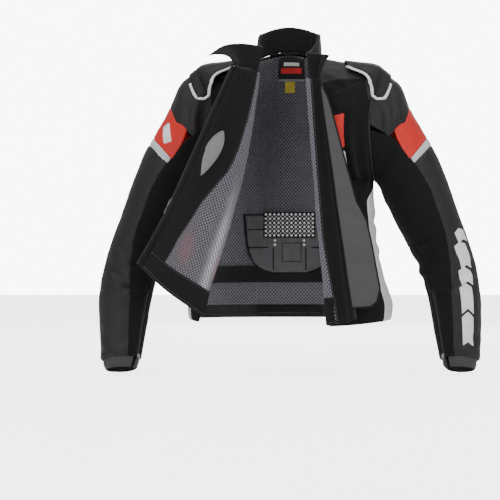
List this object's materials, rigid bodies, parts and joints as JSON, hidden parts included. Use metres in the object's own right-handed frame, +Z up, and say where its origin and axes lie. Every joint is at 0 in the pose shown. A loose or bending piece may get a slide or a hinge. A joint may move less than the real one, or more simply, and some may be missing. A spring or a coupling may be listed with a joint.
{
  "type": "leather riding jacket",
  "caption": "Short leather riding jacket with stand collar, full-length front zip, pre-curved sleeves, shoulder cups, zipped cuffs and a removable lumbar pad, shown with its front folded open.",
  "frame": {"origin": "collar seam at the centre of the back of the neck, where the wearer's neck carries the jacket", "axes": "+Z up, -Y the way the wearer faces, +X to the wearer's left"},
  "size_m": [0.8744, 0.3627, 0.7994],
  "materials": {
    "charcoal_leather": "grained matt leather",
    "red_leather": "smooth red leather",
    "white_leather": "smooth white leather",
    "black_stretch": "ribbed black stretch fabric",
    "mesh_lining": "knitted spacer mesh with small holes",
    "black_facing": "soft black woven facing",
    "grey_neoprene": "grey neoprene with a soft face",
    "zip_tape": "woven zip tape with moulded teeth",
    "zip_metal": "satin metal",
    "protector": "moulded soft armour",
    "silver_cloth": "silver-grey pocket cloth",
    "cup_plastic": "moulded cup with a fine texture",
    "collar_leather": "soft black leather",
    "collar_cloth": "soft black brushed cloth"
  },
  "bodies": {
    "torso": {"back_yoke": "charcoal_leather", "back_upper": "charcoal_leather", "back_band": "red_leather", "back_lower": "charcoal_leather", "back_lining": "mesh_lining", "lumbar_pad": "protector", "waist_elastic": "black_stretch", "connection_zip": "zip_tape", "left_chest": "charcoal_leather", "left_chest_band": "red_leather", "left_chest_lower": "black_stretch", "left_chest_lining": "mesh_lining", "left_side_panel": "white_leather", "right_chest": "charcoal_leather", "right_chest_band": "red_leather", "right_chest_lower": "black_stretch", "right_chest_lining": "mesh_lining", "right_side_panel": "white_leather", "collar_outer": "collar_leather", "collar_lining": "collar_cloth"},
    "left_front": {"left_front_panel": "charcoal_leather", "left_front_lining": "mesh_lining", "left_facing": "black_facing", "left_collar_end": "collar_leather", "left_zip_tape": "zip_tape"},
    "left_upper_arm": {"left_sleeve_outer": "charcoal_leather", "left_sleeve_stretch": "black_stretch", "left_arm_band": "red_leather", "left_sleeve_middle": "charcoal_leather", "left_shoulder_cup": "cup_plastic", "left_shoulder_protector": "protector"},
    "left_forearm": {"left_forearm_outer": "charcoal_leather", "left_forearm_stretch": "black_stretch", "left_elbow_protector": "protector", "left_cuff_band": "grey_neoprene", "left_cuff_zip_tape": "zip_tape"},
    "left_cuff_slider": {"left_cuff_slider": "zip_metal"},
    "left_cuff_puller": {"left_cuff_puller": "zip_metal"},
    "right_front": {"right_front_panel": "charcoal_leather", "right_front_lining": "mesh_lining", "right_facing": "black_facing", "right_collar_end": "collar_leather", "right_zip_tape": "zip_tape", "inner_pocket": "silver_cloth"},
    "right_upper_arm": {"right_sleeve_outer": "charcoal_leather", "right_sleeve_stretch": "black_stretch", "right_arm_band": "red_leather", "right_sleeve_middle": "charcoal_leather", "right_shoulder_cup": "cup_plastic", "right_shoulder_protector": "protector"},
    "right_forearm": {"right_forearm_outer": "charcoal_leather", "right_forearm_stretch": "black_stretch", "right_elbow_protector": "protector", "right_cuff_band": "grey_neoprene", "right_cuff_zip_tape": "zip_tape"},
    "right_cuff_slider": {"right_cuff_slider": "zip_metal"},
    "right_cuff_puller": {"right_cuff_puller": "zip_metal"},
    "storm_flap": {"storm_flap": "grey_neoprene"},
    "main_slider": {"main_slider": "zip_metal"},
    "main_puller": {"main_puller": "zip_metal"}
  },
  "joints": [
    {"name": "right_front_swing", "type": "hinge", "parent": "torso", "child": "right_front", "pos_m": [-0.07553, -0.05835, -0.05644], "axis": [0.2269, 0.0382, 0.9732], "range_deg": [0, 118]},
    {"name": "left_front_swing", "type": "hinge", "parent": "torso", "child": "left_front", "pos_m": [0.04016, -0.06843, -0.07076], "axis": [0.0788, -0.1216, -0.9894], "range_deg": [0, 136]},
    {"name": "storm_flap_swing", "type": "hinge", "parent": "left_front", "child": "storm_flap", "pos_m": [0.09981, -0.14027, -0.34636], "axis": [0.1313, -0.1789, -0.9751], "range_deg": [0, 80]},
    {"name": "main_zip_slide", "type": "slide", "parent": "right_front", "child": "main_slider", "axis": [0.3906, 0.1986, 0.8989], "range_m": [-0.19, 0.31]},
    {"name": "main_puller_swing", "type": "hinge", "parent": "main_slider", "child": "main_puller", "pos_m": [-0.26716, -0.18275, -0.35329], "axis": [-0.5916, -0.6939, 0.4104], "range_deg": [-150, 0]},
    {"name": "left_shoulder_raise", "type": "hinge", "parent": "torso", "child": "left_upper_arm", "pos_m": [0.208, 0.005, -0.05], "axis": [0, -1, 0], "range_deg": [0, 35]},
    {"name": "left_elbow_bend", "type": "hinge", "parent": "left_upper_arm", "child": "left_forearm", "pos_m": [0.35824, 0.002, -0.48675], "axis": [-0.9703, 0, -0.2419], "range_deg": [0, 26]},
    {"name": "left_cuff_zip_slide", "type": "slide", "parent": "left_forearm", "child": "left_cuff_slider", "axis": [-0.1441, 0.1572, 0.977], "range_m": [0, 0.085]},
    {"name": "left_cuff_puller_swing", "type": "hinge", "parent": "left_cuff_slider", "child": "left_cuff_puller", "pos_m": [0.34163, -0.07235, -0.70047], "axis": [0.6025, -0.7693, 0.2127], "range_deg": [-150, 0]},
    {"name": "right_shoulder_raise", "type": "hinge", "parent": "torso", "child": "right_upper_arm", "pos_m": [-0.208, 0.005, -0.05], "axis": [0, 1, 0], "range_deg": [0, 35]},
    {"name": "right_elbow_bend", "type": "hinge", "parent": "right_upper_arm", "child": "right_forearm", "pos_m": [-0.35824, 0.002, -0.48675], "axis": [-0.9703, 0, 0.2419], "range_deg": [0, 26]},
    {"name": "right_cuff_zip_slide", "type": "slide", "parent": "right_forearm", "child": "right_cuff_slider", "axis": [0.1441, 0.1572, 0.977], "range_m": [0, 0.085]},
    {"name": "right_cuff_puller_swing", "type": "hinge", "parent": "right_cuff_slider", "child": "right_cuff_puller", "pos_m": [-0.34163, -0.07235, -0.70047], "axis": [0.6025, 0.7693, -0.2127], "range_deg": [-150, 0]}
  ]
}
